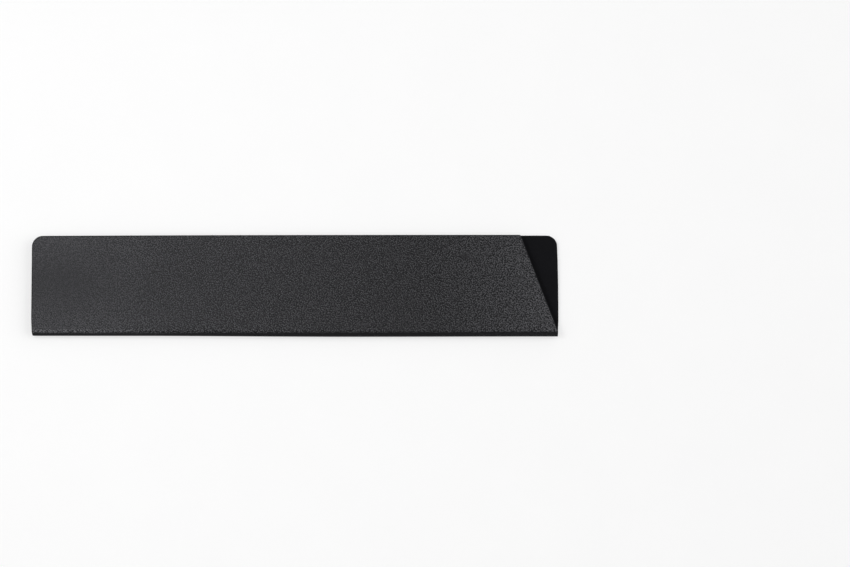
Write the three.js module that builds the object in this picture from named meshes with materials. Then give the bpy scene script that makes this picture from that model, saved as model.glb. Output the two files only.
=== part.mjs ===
// Knife case: a blade guard folded from one strip of felt-lined plastic sheet.
//
// The strip is a rear leaf, a half-round spine and a front leaf. Each is a laminate of three bonded
// layers: a grained plastic shell outside, an adhesive film, and the felt that faces the blade.
// The blade slides in between the leaves at the handle end, with its edge down in the spine. The front
// leaf ends there in a slanted cut, which leaves a strip of the rear felt bare to lay the blade on.
//
// The case lies on its rear leaf. X runs from the tip end to the handle end, Y from the spine to the open
// mouth, and Z up through the leaves. The origin is on the table, under the middle of the case.
// All sizes are in millimetres.

import * as THREE from 'three';

// Driving dimensions

const CASE_LENGTH = 267; // tip end to handle end
const CASE_HEIGHT = 51.5; // outside of the spine to the mouth
const SHELL_THICKNESS = 1.2;
const ADHESIVE_THICKNESS = 0.15;
const FELT_THICKNESS = 0.85;
const BLADE_SLOT = 1.6; // free gap between the two felt faces
const MOUTH_CORNER_RADIUS = 5.5; // leaf corners away from the spine
const SLANT_ANGLE = THREE.MathUtils.degToRad(21); // front leaf's handle end, from square
const SLANT_FOOT = 0.4; // where the slant starts at the spine, in from the handle end
const SLANT_CORNER_RADIUS = 1; // where the slant meets the mouth

const SPINE_FACETS = 12; // flats round a quarter of the spine's bend
const CORNER_FACETS = 8; // flats round a leaf's corner

// Sizes that follow from them

const LAMINATE_THICKNESS = SHELL_THICKNESS + ADHESIVE_THICKNESS + FELT_THICKNESS;
const CASE_THICKNESS = 2 * LAMINATE_THICKNESS + BLADE_SLOT;
const SPINE_RADIUS = CASE_THICKNESS / 2; // outside of the bend
const TIP_X = -CASE_LENGTH / 2;
const HANDLE_X = CASE_LENGTH / 2;
const MOUTH_Y = CASE_HEIGHT / 2;
const LEAF_WIDTH = CASE_HEIGHT - SPINE_RADIUS; // flat part of a leaf, spine to mouth
const SPINE_Y = MOUTH_Y - LEAF_WIDTH; // axis of the bend, where the flat leaves start
const SLANT_RUN = LEAF_WIDTH * Math.tan(SLANT_ANGLE);

// Materials

const SHELL_BLACK = new THREE.MeshStandardMaterial({ color: 0x3b3b3d, roughness: 0.62, metalness: 0 });
const ADHESIVE_CLEAR = new THREE.MeshStandardMaterial({ color: 0x6a675f, roughness: 0.4, metalness: 0 });
const FELT_BLACK = new THREE.MeshStandardMaterial({ color: 0x171719, roughness: 1, metalness: 0 });

// The laminate, from its outside face inwards

const LAYERS = [
  { name: 'shell', depth: 0, thickness: SHELL_THICKNESS, material: SHELL_BLACK },
  { name: 'adhesive', depth: SHELL_THICKNESS, thickness: ADHESIVE_THICKNESS, material: ADHESIVE_CLEAR },
  {
    name: 'felt',
    depth: SHELL_THICKNESS + ADHESIVE_THICKNESS,
    thickness: FELT_THICKNESS,
    material: FELT_BLACK,
  },
];

// A closed outline that runs anticlockwise through its corners, each rounded to its own radius.
function roundedOutline(corners) {
  const outline = new THREE.Shape();
  corners.forEach(({ x, y, radius = 0 }, i) => {
    const corner = new THREE.Vector2(x, y);
    const previous = corners.at(i - 1);
    const next = corners[(i + 1) % corners.length];
    const back = new THREE.Vector2(previous.x, previous.y).sub(corner).normalize();
    const onward = new THREE.Vector2(next.x, next.y).sub(corner).normalize();
    const halfAngle = back.angleTo(onward) / 2;
    const setback = radius / Math.tan(halfAngle);
    const arcStart = corner.clone().addScaledVector(back, setback);
    if (i === 0) outline.moveTo(arcStart.x, arcStart.y);
    else outline.lineTo(arcStart.x, arcStart.y);
    if (radius === 0) return;
    const inward = back.clone().add(onward).normalize();
    const centre = corner.clone().addScaledVector(inward, radius / Math.sin(halfAngle));
    const arcEnd = corner.clone().addScaledVector(onward, setback);
    const startAngle = arcStart.clone().sub(centre).angle();
    const endAngle = arcEnd.clone().sub(centre).angle();
    outline.absarc(centre.x, centre.y, radius, startAngle, endAngle, false);
  });
  outline.closePath();
  return outline;
}

// The rear leaf: square at both ends, with both mouth corners rounded.
function rearLeafOutline() {
  return roundedOutline([
    { x: TIP_X, y: SPINE_Y },
    { x: HANDLE_X, y: SPINE_Y },
    { x: HANDLE_X, y: MOUTH_Y, radius: MOUTH_CORNER_RADIUS },
    { x: TIP_X, y: MOUTH_Y, radius: MOUTH_CORNER_RADIUS },
  ]);
}

// The front leaf: the same strip, cut back on a slant at the handle end.
function frontLeafOutline() {
  const slantStartX = HANDLE_X - SLANT_FOOT;
  return roundedOutline([
    { x: TIP_X, y: SPINE_Y },
    { x: slantStartX, y: SPINE_Y },
    { x: slantStartX - SLANT_RUN, y: MOUTH_Y, radius: SLANT_CORNER_RADIUS },
    { x: TIP_X, y: MOUTH_Y, radius: MOUTH_CORNER_RADIUS },
  ]);
}

// A quarter of a ring, anticlockwise from its start angle: one layer's section in half of the spine's bend.
function bendSection(outerRadius, innerRadius, startAngle) {
  const endAngle = startAngle + Math.PI / 2;
  const section = new THREE.Shape();
  section.absarc(0, 0, outerRadius, startAngle, endAngle, false);
  section.absarc(0, 0, innerRadius, endAngle, startAngle, true);
  section.closePath();
  return section;
}

// ExtrudeGeometry cuts an arc into twice as many flats as its curveSegments.
function extruded(outline, depth, arcFacets) {
  return new THREE.ExtrudeGeometry(outline, { depth, curveSegments: arcFacets / 2, bevelEnabled: false });
}

function namedMesh(name, geometry, material) {
  const mesh = new THREE.Mesh(geometry, material);
  mesh.name = name;
  return mesh;
}

// The rear leaf, flat on the table with its shell down.
function makeRearLeaf() {
  const leaf = new THREE.Group();
  const outline = rearLeafOutline();
  for (const { name, depth, thickness, material } of LAYERS) {
    const layer = namedMesh(`rear_${name}`, extruded(outline, thickness, CORNER_FACETS), material);
    layer.position.z = depth;
    leaf.add(layer);
  }
  return leaf;
}

// The front leaf, above the blade slot with its shell up.
function makeFrontLeaf() {
  const leaf = new THREE.Group();
  const outline = frontLeafOutline();
  for (const { name, depth, thickness, material } of LAYERS) {
    const layer = namedMesh(`front_${name}`, extruded(outline, thickness, CORNER_FACETS), material);
    layer.position.z = CASE_THICKNESS - depth - thickness;
    leaf.add(layer);
  }
  return leaf;
}

// The spine: the same layers bent half round, from the rear leaf up to the front leaf, over the full length
// of the case. Each leaf has its half of the bend, and the halves meet at the crest, under the blade's edge.
// The bend is what flexes when the front leaf is lifted.
function makeSpine() {
  const spine = new THREE.Group();
  spine.position.set(TIP_X, SPINE_Y, SPINE_RADIUS);
  spine.rotation.set(Math.PI / 2, Math.PI / 2, 0); // a section's x and y to Y and Z, its depth along X
  const halves = [
    { side: 'rear', startAngle: Math.PI },
    { side: 'front', startAngle: Math.PI / 2 },
  ];
  for (const { side, startAngle } of halves) {
    for (const { name, depth, thickness, material } of LAYERS) {
      const outerRadius = SPINE_RADIUS - depth;
      const section = bendSection(outerRadius, outerRadius - thickness, startAngle);
      spine.add(namedMesh(`${side}_spine_${name}`, extruded(section, CASE_LENGTH, SPINE_FACETS), material));
    }
  }
  return spine;
}

const knifeCase = new THREE.Group();
knifeCase.name = 'knife_case';
knifeCase.add(makeRearLeaf(), makeSpine(), makeFrontLeaf());

export default knifeCase;
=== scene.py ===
"""The knife case: a slim blade guard folded from one strip of felt-lined plastic sheet."""

import math

import bpy
import numpy as np
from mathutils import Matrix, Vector


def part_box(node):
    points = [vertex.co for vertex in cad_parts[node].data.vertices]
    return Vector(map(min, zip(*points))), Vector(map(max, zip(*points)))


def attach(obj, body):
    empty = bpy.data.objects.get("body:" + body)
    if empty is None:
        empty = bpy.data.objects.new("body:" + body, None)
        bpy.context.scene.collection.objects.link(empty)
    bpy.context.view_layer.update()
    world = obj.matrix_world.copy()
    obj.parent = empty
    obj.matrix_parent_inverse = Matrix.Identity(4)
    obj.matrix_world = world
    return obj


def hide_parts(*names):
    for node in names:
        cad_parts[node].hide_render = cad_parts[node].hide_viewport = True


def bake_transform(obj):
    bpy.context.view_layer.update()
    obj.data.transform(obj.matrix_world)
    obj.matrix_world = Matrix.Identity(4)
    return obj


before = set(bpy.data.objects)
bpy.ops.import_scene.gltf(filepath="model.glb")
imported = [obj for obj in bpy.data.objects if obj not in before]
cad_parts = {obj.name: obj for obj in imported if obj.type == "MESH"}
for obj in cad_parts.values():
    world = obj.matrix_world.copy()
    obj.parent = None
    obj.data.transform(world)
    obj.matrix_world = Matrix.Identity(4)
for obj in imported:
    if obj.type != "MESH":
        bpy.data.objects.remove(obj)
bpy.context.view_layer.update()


# The plastic shell is one strip of black sheet, pebbled on its outside face and die-cut to outline. It is
# heated along its middle and folded in half, so both leaves and the round spine are a single piece. It is
# folded by hand, so the cuts lean a little, the fold bows, and its ends are eased so that they don't bulge.

mm = 0.001
rear_low, rear_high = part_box("rear_shell")
case_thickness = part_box("front_shell")[1].z
tip_x = rear_low.x
handle_x = rear_high.x
case_length = handle_x - tip_x
spine_y = rear_low.y
leaf_width = rear_high.y - spine_y
shell_thickness = rear_high.z - rear_low.z
bend_radius = case_thickness / 2
bend_run = math.pi * (bend_radius - shell_thickness / 2)
half_bend = bend_run / 2
strip_end = bend_run + leaf_width

mouth_corner = 5.5 * mm
slant = math.radians(21)
slant_corner = 1.0 * mm
slant_foot = 0.4 * mm
slant_start = bend_run - slant_foot / math.tan(slant)

tip_lean = 0.2 * mm
handle_lean = 0.85 * mm
tip_ease = 0.45 * mm
handle_ease = 0.3 * mm
ease_reach = 9.5 * mm
tip_bow = 0.38 * mm
handle_bow = 0.23 * mm
straight_x = 24 * mm
bowed_x = -75 * mm
mouth_fall = 0.48 * mm
leaf_dip = 0.1 * mm
dip_lengths = (90 * mm, 143 * mm)

sheet_rows = 24
sheet_columns = 134
corner_rows = 10
bend_rows = 28
foot_rows = 4
roll_steps = 4
rim_land = 0.15 * mm
shell_outer_roll = 0.3 * mm
shell_inner_roll = 0.08 * mm

band_waver = 0.15 * mm
band_start = half_bend - 1.3 * mm
band_end = half_bend - 0.8 * mm
shoulder_rise = (half_bend - 1.1 * mm, half_bend - 0.6 * mm)
shoulder_drop = (half_bend + 0.3 * mm, half_bend + 1.0 * mm)
tip_band_skew = 0.5 * mm
middle_band_skew = -0.1 * mm
handle_band_skew = -0.4 * mm
# Where the painted highlights on the pebble tops fade from the tip, where the grain crowds near the tip,
# where the handle end's painted highlight starts, and where the edges' painted highlight starts.
tip_highlight_span = (-110 * mm, 50 * mm)
crowded_tip = (-115 * mm, -65 * mm)
toward_handle_x = 64 * mm
edge_highlight_start = 3 * mm
pebbles_per_metre = 1600.0
pebble_turn = 0.6
grain_height = 0.06 * mm


def up_leaf(run):
    """How far up its leaf a point is: 0 all round the bend, and 1 at the mouth.

    The run is its distance along the strip: below zero on the rear leaf, then round the bend, then up the
    front leaf.
    """
    return np.maximum(np.maximum(-run, run - bend_run), 0) / leaf_width


def near_crest(run):
    """How near the bend's crest a point is: 1 on it, and 0 past the stretch where the ends are eased."""
    return np.clip(1 - np.abs(run - half_bend) / ease_reach, 0, 1)


def tip_inset(run):
    """How far the tip end is set in: it leans in towards the spine, and is eased at the crest."""
    return tip_lean * (1 - up_leaf(run)) + tip_ease * near_crest(run)


def handle_inset(run):
    """How far the square handle end is set in: it leans in at the mouth, and is eased at the crest."""
    return handle_lean * up_leaf(run) ** 3 + handle_ease * near_crest(run)


def corner_arc(centre_x, centre_run, radius, start, end):
    """Points round a corner of the flat strip, between two angles measured from X towards the run."""
    angle = np.linspace(start, end, corner_rows + 1)
    return np.stack([centre_x + radius * np.cos(angle), centre_run + radius * np.sin(angle)], axis=1)


def strip_ends(inset, leaf_rows):
    """The flat strip's tip and handle ends, set in from the cut, as two equal rows of points (x, run)."""
    quarter = math.pi / 2
    corner = mouth_corner - inset
    rear_run = mouth_corner - leaf_width
    front_run = strip_end - mouth_corner
    tip_corner_x = tip_x + tip_inset(rear_run) + mouth_corner
    handle_corner_x = handle_x - handle_inset(rear_run) - mouth_corner
    slant_corner_run = strip_end - slant_corner
    slant_corner_inset = (slant_corner_run - slant_start) * math.tan(slant)
    slant_corner_inset += slant_corner / math.cos(slant)
    slant_arc_run = slant_corner_run + (slant_corner - inset) * math.sin(slant)

    shared = np.concatenate([
        np.linspace(rear_run, 0, leaf_rows + 1)[1:],
        np.linspace(0, slant_start, bend_rows + 1)[1:],
        np.linspace(slant_start, bend_run, foot_rows + 1)[1:],
    ])
    tip_run = np.concatenate([shared, np.linspace(bend_run, front_run, leaf_rows + 1)[1:-1]])
    handle_run = np.concatenate([shared, np.linspace(bend_run, slant_arc_run, leaf_rows + 1)[1:-1]])
    square_inset = inset + handle_inset(handle_run)
    slant_inset = inset / math.cos(slant) + (handle_run - slant_start) * math.tan(slant)
    tip_line = np.stack([tip_x + inset + tip_inset(tip_run), tip_run], axis=1)
    handle_line = np.stack([handle_x - np.maximum(square_inset, slant_inset), handle_run], axis=1)

    tip_end = np.concatenate([
        corner_arc(tip_corner_x, rear_run, corner, -quarter, -2 * quarter),
        tip_line,
        corner_arc(tip_corner_x, front_run, corner, 2 * quarter, quarter),
    ])
    handle_end = np.concatenate([
        corner_arc(handle_corner_x, rear_run, corner, -quarter, 0),
        handle_line,
        corner_arc(handle_x - slant_corner_inset, slant_corner_run, slant_corner - inset, slant, quarter),
    ])
    return tip_end, handle_end


def smooth_step(value, start, end):
    """From 0 at the start to 1 at the end, gently, and no further."""
    share = np.clip((value - start) / (end - start), 0, 1)
    return share ** 2 * (3 - 2 * share)


def fold(flat, depth):
    """Points of the flat strip, (x, run), folded into the case at a depth below its outside face.

    The fold bows in towards both ends, the mouth falls away towards the tip, and the front leaf dips by a
    hair here and there.
    """
    x = flat[..., 0]
    run = flat[..., 1]
    up = up_leaf(run)
    turn = math.pi * np.clip(run / bend_run, 0, 1)
    radius = bend_radius - depth
    bow = tip_bow * smooth_step(x, straight_x, bowed_x)
    bow = bow + handle_bow * smooth_step(x, straight_x, handle_x)
    fall = mouth_fall * ((handle_x - x) / case_length) ** 3
    swells = [(1 + np.sin(2 * math.pi * x / length + up)) / 2 for length in dip_lengths]
    dip = leaf_dip * np.where(run > 0, up, 0) * np.mean(swells, axis=0)
    y = spine_y - radius * np.sin(turn) + up * leaf_width + bow * (1 - up) - fall * up
    z = bend_radius - radius * np.cos(turn) - dip
    return np.stack([x, y, z], axis=-1)


def cut_rim(outside, inside, outer_roll, inner_roll):
    """A cut edge's section, as (inset, depth) pairs from the outside face round to the inside face."""
    turn = np.linspace(0, math.pi / 2, roll_steps + 1)
    outer = np.stack([outer_roll * (1 - np.sin(turn)), outside + outer_roll * (1 - np.cos(turn))], axis=1)
    inner = np.stack([inner_roll * (1 - np.cos(turn)), inside - inner_roll * (1 - np.sin(turn))], axis=1)
    first = [[outer_roll + rim_land, outside]]
    last = [[inner_roll + rim_land, inside]]
    return np.concatenate([first, outer, inner, last])


def folded_layer(name, rim, leaf_rows, columns, dents=None):
    """One closed layer of the folded strip: its outside face, its cut edge all round and its inside face.

    dents, where the inside face isn't smooth, gives how far each of its flat points is pressed in.
    """
    across = np.linspace(0, 1, columns + 1)[:, None]

    def face_points(inset):
        tip_end, handle_end = strip_ends(inset, leaf_rows)
        return tip_end[:, None] * (1 - across) + handle_end[:, None] * across

    outside = face_points(rim[0][0])
    inside = face_points(rim[-1][0])
    cells = np.arange(outside.size // 2).reshape(outside.shape[:2])
    loop = np.concatenate([cells[0], cells[1:, -1], cells[-1, -2::-1], cells[-2:0:-1, 0]])

    flats = [outside.reshape(-1, 2)]
    flats += [face_points(inset).reshape(-1, 2)[loop] for inset, depth in rim[1:-1]]
    flats += [inside.reshape(-1, 2)]
    depths = [np.full(len(points), depth) for points, (inset, depth) in zip(flats, rim)]
    if dents is not None:
        pressed_in = dents(inside)
        pressed_in[[0, -1], :] = 0
        pressed_in[:, [0, -1]] = 0
        depths[-1] -= pressed_in.ravel()

    quads = np.stack([cells[:-1, :-1], cells[:-1, 1:], cells[1:, 1:], cells[1:, :-1]], axis=-1)
    quads = quads.reshape(-1, 4)
    starts = np.cumsum([0] + [len(points) for points in flats])
    loops = [loop] + [start + np.arange(len(loop)) for start in starts[1:-2]] + [loop + starts[-2]]
    faces = [quads, quads[:, ::-1] + starts[-2]]
    for upper, lower in zip(loops, loops[1:]):
        faces.append(np.stack([np.roll(upper, -1), upper, lower, np.roll(lower, -1)], axis=-1))

    flat = np.concatenate(flats)
    depth = np.concatenate(depths)
    mesh = bpy.data.meshes.new(name)
    mesh.from_pydata(fold(flat, depth).tolist(), [], np.concatenate(faces).tolist())
    mesh.shade_smooth()
    place = mesh.attributes.new("sheet_place", "FLOAT_VECTOR", "POINT")
    place.data.foreach_set("vector", np.column_stack([flat, depth]).astype(np.float32).ravel())
    on_cut = np.ones(len(flat))
    on_cut[:starts[1]] = 0
    on_cut[starts[-2]:] = 0
    cut = mesh.attributes.new("cut_edge", "FLOAT", "POINT")
    cut.data.foreach_set("value", on_cut.astype(np.float32))
    piece = bpy.data.objects.new(name, mesh)
    bpy.context.collection.objects.link(piece)
    return piece


def flex(piece):
    """Bakes a layer's placement into its points."""
    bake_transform(piece)


def add_node(tree, kind, inputs=None, **settings):
    """Adds a shader node, with its own settings, and a value or a link for each input that is named."""
    node = tree.nodes.new(kind)
    for name, value in settings.items():
        setattr(node, name, value)
    for name, value in (inputs or {}).items():
        if isinstance(value, bpy.types.NodeSocket):
            tree.links.new(value, node.inputs[name])
        else:
            node.inputs[name].default_value = value
    return node


def ranged(tree, value, low, high, to_low, to_high):
    """A value whose range low to high becomes to_low to to_high, and goes no further."""
    inputs = {"Value": value, "From Min": low, "From Max": high, "To Min": to_low, "To Max": to_high}
    return add_node(tree, "ShaderNodeMapRange", inputs).outputs["Result"]


def reckon(tree, operation, *values):
    """One step of arithmetic, on one or two values."""
    return add_node(tree, "ShaderNodeMath", dict(enumerate(values)), operation=operation).outputs["Value"]


def mixed(tree, factor, first, second):
    """A colour between two, by a factor."""
    inputs = {0: factor, 6: first, 7: second}
    return add_node(tree, "ShaderNodeMix", inputs, data_type="RGBA").outputs[2]


def attribute(tree, name, output):
    """One of a piece's own point attributes."""
    return add_node(tree, "ShaderNodeAttribute", attribute_name=name).outputs[output]


def noise(tree, place, lumps_per_metre, detail=2.0, rough=0.5):
    """Soft three-dimensional noise."""
    inputs = {"Vector": place, "Scale": lumps_per_metre, "Detail": detail, "Roughness": rough}
    return add_node(tree, "ShaderNodeTexNoise", inputs).outputs["Fac"]


def raised(tree, shader, height, distance, strength=1.0):
    """Gives a shader the bumps of a height that goes from 0 to 1 over a distance."""
    inputs = {"Strength": strength, "Distance": distance, "Height": height}
    bump = add_node(tree, "ShaderNodeBump", inputs)
    tree.links.new(bump.outputs["Normal"], shader.inputs["Normal"])


def new_material(name):
    """A material with its Principled shader, and the tree that its other nodes go in."""
    material = bpy.data.materials.new(name)
    material.use_nodes = True
    tree = material.node_tree
    return material, tree, tree.nodes["Principled BSDF"]


def make_mottle():
    """A node group for the slow, uneven tone that a surface picks up as it is made and handled."""
    group = bpy.data.node_groups.new("mottle", "ShaderNodeTree")
    group.interface.new_socket("Place", in_out="INPUT", socket_type="NodeSocketVector")
    group.interface.new_socket("Lumps per metre", in_out="INPUT", socket_type="NodeSocketFloat")
    group.interface.new_socket("Tone", in_out="OUTPUT", socket_type="NodeSocketFloat")
    given = group.nodes.new("NodeGroupInput").outputs
    broad = noise(group, given["Place"], given["Lumps per metre"], detail=3.0, rough=0.6)
    tone = ranged(group, broad, 0.3, 0.7, 0.0, 1.0)
    group.links.new(tone, group.nodes.new("NodeGroupOutput").inputs["Tone"])
    return group


mottle = make_mottle()


def mottled(tree, place, lumps_per_metre):
    """Places the mottle group in a material, and gives its tone."""
    inputs = {"Place": place, "Lumps per metre": lumps_per_metre}
    return add_node(tree, "ShaderNodeGroup", inputs, node_tree=mottle).outputs["Tone"]


def make_grained_plastic():
    """Black plastic with a fine pebbled grain, flattened where the bend was heated and gone at the cut.
    There,
    its colour is near black: painted shade.

    The pebble tops are painted lighter than the hollows, some more than others: painted glints. Near the tip
    they crowd together. Along the fold the tops are paler, partly whitened where the sheet stretched and
    partly a painted highlight, and towards the leaf's edges they carry a painted highlight; both fade away
    from the tip. At the handle end the tops carry a painted highlight too. Dust lies in the hollows at both
    ends.
    """
    material, tree, shader = new_material("grained_plastic")
    place = attribute(tree, "sheet_place", "Vector")
    along = add_node(tree, "ShaderNodeSeparateXYZ", {"Vector": place}).outputs

    tip_skew = ranged(tree, along["X"], bowed_x, straight_x, tip_band_skew, middle_band_skew)
    handle_skew = ranged(tree, along["X"], straight_x, handle_x, 0.0, handle_band_skew)
    askew = reckon(tree, "ADD", tip_skew, handle_skew)
    waver = noise(tree, place, lumps_per_metre=90.0)
    waver = ranged(tree, waver, 0.3, 0.7, -band_waver, band_waver)
    from_crest = reckon(tree, "ABSOLUTE", reckon(tree, "SUBTRACT", along["Y"], half_bend))
    from_middle = reckon(tree, "SUBTRACT", from_crest, half_bend + leaf_width / 2)
    from_middle = reckon(tree, "ABSOLUTE", from_middle)
    from_crest = reckon(tree, "ADD", from_crest, reckon(tree, "ADD", askew, waver))
    heated = ranged(tree, from_crest, band_start, band_end, 0.85, 0.0)
    smooth = reckon(tree, "MAXIMUM", heated, attribute(tree, "cut_edge", "Fac"))

    # Painted highlight: the paler tops below are strongest at the tip, under the overhead softbox, and fade
    # towards the handle.
    tip_highlight = ranged(tree, along["X"], *tip_highlight_span, 1.0, 0.08)
    # Along the fold's shoulder the tops are painted paler: partly whitening where the sheet stretched,
    # partly painted highlight.
    shoulder_start = ranged(tree, from_crest, *shoulder_rise, 0.0, 1.0)
    shoulder_end = ranged(tree, from_crest, *shoulder_drop, 1.0, 0.0)
    shoulder = reckon(tree, "MULTIPLY", shoulder_start, shoulder_end)
    fold_paling_and_highlight = reckon(tree, "MULTIPLY", shoulder, tip_highlight)
    # Towards the leaf's edges, near the tip, the tops are painted paler: painted highlight.
    edging = ranged(tree, from_middle, edge_highlight_start, leaf_width / 2, 0.0, 0.28)
    edge_highlight = reckon(tree, "MULTIPLY", edging, tip_highlight)
    paling_and_highlights = reckon(tree, "MAXIMUM", fold_paling_and_highlight, edge_highlight)
    # Towards the handle end the tops are painted paler, a painted highlight, and the grain crowds a little
    # as at the tip.
    toward_handle = ranged(tree, along["X"], toward_handle_x, handle_x, 0.0, 1.0)
    past_tip = ranged(tree, along["X"], *crowded_tip, 0.0, 1.0)
    sparse = reckon(tree, "SUBTRACT", past_tip, reckon(tree, "MULTIPLY", toward_handle, 0.7))

    inputs = {"Vector": place, "Rotation": (0.0, 0.0, pebble_turn)}
    turned = add_node(tree, "ShaderNodeMapping", inputs).outputs["Vector"]
    inputs = {"Vector": turned, "Scale": pebbles_per_metre}
    pebbles = add_node(tree, "ShaderNodeTexVoronoi", inputs, voronoi_dimensions="2D").outputs
    dome = ranged(tree, pebbles["Distance"], 0.0, 0.6, 0.9, 0.0)
    grain = reckon(tree, "ADD", dome, noise(tree, place, lumps_per_metre=3000.0, rough=0.6))
    grain = reckon(tree, "MULTIPLY", grain, reckon(tree, "SUBTRACT", 1.0, smooth))
    raised(tree, shader, grain, grain_height)

    # The pebble tops over the hollows are painted glints, the two paler top colours are painted highlights,
    # and the near-black last colour is painted shade on the heated band and the cut.
    deep_hollow = (0.0, 0.0, 0.0, 1)
    dusty_hollow = (0.006, 0.006, 0.0064, 1)
    crowded_top = (0.039, 0.039, 0.0415, 1)
    sparse_top = (0.117, 0.117, 0.124, 1)
    paling_and_highlight_top = (0.2, 0.2, 0.212, 1)
    handle_highlight_top = (0.162, 0.162, 0.172, 1)
    painted_shade = (0.001, 0.001, 0.0012, 1)
    # Lighter pebble tops over dark hollows, some brighter than others, are painted glints.
    chance = add_node(tree, "ShaderNodeSeparateColor", {"Color": pebbles["Color"]}).outputs["Red"]
    glint_strength = ranged(tree, chance, 0.0, 1.0, 0.3, 1.0)
    reach = ranged(tree, sparse, 0.0, 1.0, 0.64, 0.4)
    painted_glints = ranged(tree, pebbles["Distance"], 0.1, reach, glint_strength, 0.0)
    top = mixed(tree, paling_and_highlights, mixed(tree, sparse, crowded_top, sparse_top), paling_and_highlight_top)
    top = mixed(tree, toward_handle, top, handle_highlight_top)
    hollow = mixed(tree, sparse, dusty_hollow, deep_hollow)
    colour = mixed(tree, painted_glints, hollow, top)
    # The heated band and the cut edges are painted near black: painted shade.
    tree.links.new(mixed(tree, smooth, colour, painted_shade), shader.inputs["Base Color"])

    roughness = ranged(tree, mottled(tree, place, lumps_per_metre=45.0), 0.0, 1.0, 0.36, 0.41)
    tree.links.new(ranged(tree, smooth, 0.0, 1.0, roughness, 0.85), shader.inputs["Roughness"])
    shader.inputs["Specular IOR Level"].default_value = 0.24
    shader.inputs["Specular Tint"].default_value = (0.94, 0.94, 1.0, 1)
    return material


shell_rim = cut_rim(0, shell_thickness, shell_outer_roll, shell_inner_roll)
shell = folded_layer("shell", shell_rim, sheet_rows, sheet_columns)
shell.data.materials.append(make_grained_plastic())
flex(shell)
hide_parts("rear_shell", "rear_spine_shell", "front_spine_shell", "front_shell")


# The adhesive film is a clear acrylic sheet, laid from a roll on the plastic before it is folded. It stops
# just short of the cut edge, so a fine dark line shows there between the plastic and the felt.

film_low, film_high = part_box("rear_adhesive")
film_inset = 0.12 * mm
film_roll = 0.03 * mm


def make_adhesive_film():
    """Clear acrylic, yellowed a little, with milky patches where it hasn't wetted out."""
    material, tree, shader = new_material("adhesive_film")
    place = attribute(tree, "sheet_place", "Vector")
    milkiness = mottled(tree, place, lumps_per_metre=180.0)
    clear = (0.11, 0.1, 0.08, 1)
    milky = (0.18, 0.172, 0.15, 1)
    tree.links.new(mixed(tree, milkiness, clear, milky), shader.inputs["Base Color"])
    tree.links.new(ranged(tree, milkiness, 0.0, 1.0, 0.3, 0.5), shader.inputs["Roughness"])
    ripple = noise(tree, place, lumps_per_metre=900.0)
    raised(tree, shader, ripple, distance=0.05 * mm, strength=0.5)
    return material


film_rim = cut_rim(film_low.z, film_high.z, film_roll, film_roll)
film_rim[:, 0] += film_inset
film = folded_layer("adhesive_film", film_rim, sheet_rows, sheet_columns)
film.data.materials.append(make_adhesive_film())
flex(film)
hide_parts("rear_adhesive", "rear_spine_adhesive", "front_spine_adhesive", "front_adhesive")


# The felt lining is one strip of pressed black felt, cut with the plastic to the same outline and bonded to
# it all over, so it follows the fold. Pressing leaves its face a little dented, and cutting leaves loose
# fibres round its edge and over the corner that the slanted cut lays bare.

felt_low, felt_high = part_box("rear_felt")
felt_rows = 40
felt_columns = 200
felt_outer_roll = 0.05 * mm
felt_inner_roll = 0.25 * mm
dent_depth = 0.08 * mm
fibre_radius = 0.015 * mm
fibre_points = 5
fibre_curl = 1.6
edge_fibres = 1500
edge_fan = 0.9
edge_margin = 0.2 * mm
corner_fibres = 600
corner_margin = 0.3 * mm
corner_sink = 0.1 * mm
rng = np.random.default_rng(11)


def felt_dents(flat):
    """How far the pressed face is dented, from a few crossing waves of so many radians to the metre."""
    waves = [(310, 140, 0.4), (-220, 390, 1.9), (530, -260, 3.1), (170, 640, 4.4), (-610, -330, 5.2)]
    swells = [(1 + np.sin(flat[..., 0] * a + flat[..., 1] * b + c)) / 2 for a, b, c in waves]
    return dent_depth * np.mean(swells, axis=0)


def make_felt():
    """Matted black felt: dull, with short fibres pressed every way and a faint bloom at a low angle."""
    material, tree, shader = new_material("felt")
    place = attribute(tree, "sheet_place", "Vector")
    tone = mottled(tree, place, lumps_per_metre=160.0)
    swirl = noise(tree, place, lumps_per_metre=700.0, detail=3.0, rough=0.6)
    strands = noise(tree, place, lumps_per_metre=5200.0, detail=3.0, rough=0.7)
    matting = reckon(tree, "ADD", reckon(tree, "MULTIPLY", swirl, 0.5), strands)
    deep = (0.0038, 0.0038, 0.0046, 1)
    near = (0.0064, 0.0064, 0.0078, 1)
    faded = (0.0075, 0.0075, 0.0089, 1)
    colour = mixed(tree, ranged(tree, matting, 0.5, 1.0, 0.0, 1.0), deep, near)
    colour = mixed(tree, reckon(tree, "MULTIPLY", tone, 0.3), colour, faded)
    tree.links.new(colour, shader.inputs["Base Color"])
    tree.links.new(ranged(tree, tone, 0.0, 1.0, 0.9, 1.0), shader.inputs["Roughness"])
    raised(tree, shader, matting, distance=0.08 * mm, strength=0.8)
    shader.inputs["Specular IOR Level"].default_value = 0.1
    shader.inputs["Sheen Weight"].default_value = 0.03
    shader.inputs["Sheen Roughness"].default_value = 0.4
    return material


felt_rim = cut_rim(felt_low.z, felt_high.z, felt_outer_roll, felt_inner_roll)
felt = folded_layer("felt_lining", felt_rim, felt_rows, felt_columns, dents=felt_dents)
felt.data.materials.append(make_felt())
flex(felt)
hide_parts("rear_felt", "rear_spine_felt", "front_spine_felt", "front_felt")

tip_end, handle_end = strip_ends(0, felt_rows)
outline = np.concatenate([tip_end, handle_end[::-1]])
outline_steps = np.roll(outline, -1, axis=0) - outline


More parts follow.
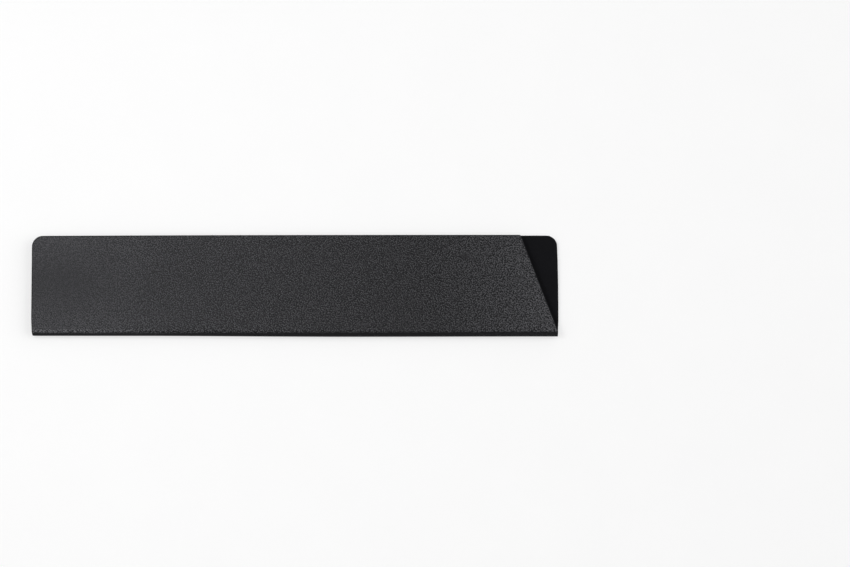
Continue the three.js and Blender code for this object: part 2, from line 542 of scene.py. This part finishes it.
def edge_starts(count):
    """Places picked evenly round the felt's cut edge, (x, run), and the angle that points out at each."""
    lengths = np.hypot(outline_steps[:, 0], outline_steps[:, 1])
    picked = rng.choice(len(outline), count, p=lengths / lengths.sum())
    start = outline[picked] + outline_steps[picked] * rng.random((count, 1))
    out = np.arctan2(outline_steps[picked, 0], -outline_steps[picked, 1])
    return start, out


def corner_starts(count):
    """Places picked on the rear felt that the front leaf leaves bare, (x, run)."""
    tries = 4 * count
    up = rng.uniform(0, leaf_width - corner_margin, tries)
    x = rng.uniform(handle_x - leaf_width * math.tan(slant), handle_x - corner_margin, tries)
    past_slant = x > handle_x - slant_foot - up * math.tan(slant)
    past_corner = (x > handle_x - mouth_corner) & (up > leaf_width - mouth_corner)
    from_centre = np.hypot(x - handle_x + mouth_corner, up - leaf_width + mouth_corner)
    kept = past_slant & ~(past_corner & (from_centre > mouth_corner - corner_margin))
    return np.stack([x, -up], axis=1)[kept][:count]


def curling(start, heading, length, depth, lift):
    """Short lines on the folded felt, each curling away from its start and lifting as it goes."""
    along = np.linspace(0, 1, fibre_points)
    angle = heading[:, None] + rng.uniform(-fibre_curl, fibre_curl, (len(start), 1)) * along
    step = length[:, None, None] / fibre_points * np.stack([np.cos(angle), np.sin(angle)], axis=-1)
    flat = start[:, None] + np.cumsum(step, axis=1)
    return fold(flat, depth[:, None] + lift[:, None] * along)


def make_wool():
    """Single black fibres, some of them greyer than others."""
    material, tree, shader = new_material("felt_fibre")
    place = add_node(tree, "ShaderNodeTexCoord").outputs["Object"]
    tone = mottled(tree, place, lumps_per_metre=900.0)
    black = (0.004, 0.004, 0.0048, 1)
    grey = (0.016, 0.016, 0.018, 1)
    tree.links.new(mixed(tree, tone, black, grey), shader.inputs["Base Color"])
    tree.links.new(ranged(tree, tone, 0.0, 1.0, 0.6, 0.8), shader.inputs["Roughness"])
    shader.inputs["Specular IOR Level"].default_value = 0.1
    return material


wool = make_wool()


def fibre_piece(name, body, lines):
    """Fine round fibres along many short lines, closed at their ends."""
    curve = bpy.data.curves.new(name, "CURVE")
    curve.dimensions = "3D"
    curve.bevel_depth = fibre_radius
    curve.bevel_resolution = 0
    curve.use_fill_caps = True
    for line in lines:
        spline = curve.splines.new("POLY")
        spline.points.add(len(line) - 1)
        spline.points.foreach_set("co", np.column_stack([line, np.ones(len(line))]).ravel())
    curve.materials.append(wool)
    piece = bpy.data.objects.new(name, curve)
    bpy.context.collection.objects.link(piece)
    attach(piece, body)
    return piece


edge_start, edge_out = edge_starts(edge_fibres)
edge_lines = curling(
    edge_start,
    edge_out + rng.uniform(-edge_fan, edge_fan, edge_fibres),
    length=rng.uniform(0.12, 0.4, edge_fibres) * mm,
    depth=rng.uniform(felt_low.z + edge_margin, felt_high.z - edge_margin, edge_fibres),
    lift=rng.uniform(-0.15, 0.15, edge_fibres) * mm,
)
corner_start = corner_starts(corner_fibres)
corner_count = len(corner_start)
corner_lines = curling(
    corner_start,
    rng.uniform(0, 2 * math.pi, corner_count),
    length=rng.uniform(0.4, 1.0, corner_count) * mm,
    depth=np.full(corner_count, felt_high.z - corner_sink),
    lift=rng.uniform(0.12, 0.22, corner_count) * mm,
)
on_rear = edge_start[:, 1] < -fibre_radius
on_front = edge_start[:, 1] > bend_run + fibre_radius
rear_lines = np.concatenate([edge_lines[on_rear], corner_lines])
rear_fibres = fibre_piece("rear_felt_fibres", "rear_leaf", rear_lines)
front_fibres = fibre_piece("front_felt_fibres", "front_leaf", edge_lines[on_front])


# The studio is a plain white floor with a low wall far off all round. Two softboxes hang over the tip end,
# one to each side of the case, so the plastic shines there and darkens towards the handle. Three broad ones,
# to the left, right and back, light the floor. The camera looks down, a little from the spine's side.

floor_radius = 10.0
wall_height = 3.0
wall_panels = 64
turns = 2 * math.pi * np.arange(wall_panels) / wall_panels
wall_foot = floor_radius * np.stack([np.cos(turns), np.sin(turns), np.zeros(wall_panels)], axis=1)
wall_top = wall_foot + (0, 0, wall_height)
here = np.arange(wall_panels)
following = np.roll(here, -1)
panels = np.stack([here, here + wall_panels, following + wall_panels, following], axis=1)
floor_mesh = bpy.data.meshes.new("floor")
floor_points = np.concatenate([wall_foot, wall_top])
floor_mesh.from_pydata(floor_points.tolist(), [], [here.tolist()] + panels.tolist())
floor = bpy.data.objects.new("floor", floor_mesh)
bpy.context.collection.objects.link(floor)


def make_floor_paint():
    """White paint, rolled on, so its tone and gloss are a little uneven.

    To the camera, and in gloss, it is part plain white, so that its shadows are thin. It lights the case as
    plain paint does.
    """
    material, tree, shader = new_material("floor_paint")
    place = add_node(tree, "ShaderNodeTexCoord").outputs["Object"]
    tone = mottled(tree, place, lumps_per_metre=30.0)
    dull = (0.9, 0.9, 0.9, 1)
    bright = (0.92, 0.92, 0.92, 1)
    tree.links.new(mixed(tree, tone, dull, bright), shader.inputs["Base Color"])
    tree.links.new(ranged(tree, tone, 0.0, 1.0, 0.8, 0.9), shader.inputs["Roughness"])
    shader.inputs["Specular IOR Level"].default_value = 0.1

    ray = add_node(tree, "ShaderNodeLightPath").outputs
    seen = reckon(tree, "MAXIMUM", ray["Is Camera Ray"], ray["Is Glossy Ray"])
    seen = reckon(tree, "MAXIMUM", seen, ray["Is Transmission Ray"])
    glow = add_node(tree, "ShaderNodeEmission", {"Color": (1, 1, 1, 1), "Strength": 1.0})
    whitened = reckon(tree, "MULTIPLY", seen, 0.6)
    inputs = {0: whitened, 1: shader.outputs["BSDF"], 2: glow.outputs["Emission"]}
    whitening = add_node(tree, "ShaderNodeMixShader", inputs)
    tree.links.new(whitening.outputs["Shader"], tree.nodes["Material Output"].inputs["Surface"])
    return material


floor_mesh.materials.append(make_floor_paint())


def softbox(name, place, aim, size, power):
    """A soft square lamp that the camera doesn't see, turned to face a point."""
    lamp = bpy.data.lights.new(name, "AREA")
    lamp.size = size
    lamp.energy = power
    box = bpy.data.objects.new(name, lamp)
    box.location = place
    box.rotation_euler = (Vector(aim) - Vector(place)).to_track_quat("-Z", "Y").to_euler()
    box.visible_camera = False
    bpy.context.collection.objects.link(box)


tip_half = (-0.10, 0, 0)
middle = (0, 0, 0)
softbox("overhead_softbox", (-0.30, 0.16, 0.70), tip_half, size=0.28, power=1.72)
softbox("front_softbox", (-0.28, -0.14, 0.70), tip_half, size=0.25, power=0.5)
softbox("left_softbox", (-2.80, 0.10, 2.20), middle, size=3.0, power=8.0)
softbox("right_softbox", (2.80, 0.10, 2.20), middle, size=3.0, power=74.0)
softbox("back_softbox", (1.20, 2.60, 2.20), middle, size=3.0, power=20.0)

room = bpy.data.worlds.new("room")
room.use_nodes = True
room.node_tree.nodes["Background"].inputs["Color"].default_value = (0.3, 0.3, 0.3, 1)
bpy.context.scene.world = room

camera_data = bpy.data.cameras.new("camera")
camera_data.lens = 120
camera_data.sensor_width = 36
camera = bpy.data.objects.new("camera", camera_data)
camera.location = (108.32 * mm, -123.50 * mm, 1430.2 * mm)
camera.rotation_euler = (math.radians(5), math.radians(1.681), math.radians(0.155))
bpy.context.collection.objects.link(camera)
bpy.context.scene.camera = camera
bpy.context.scene.view_settings.view_transform = "Standard"
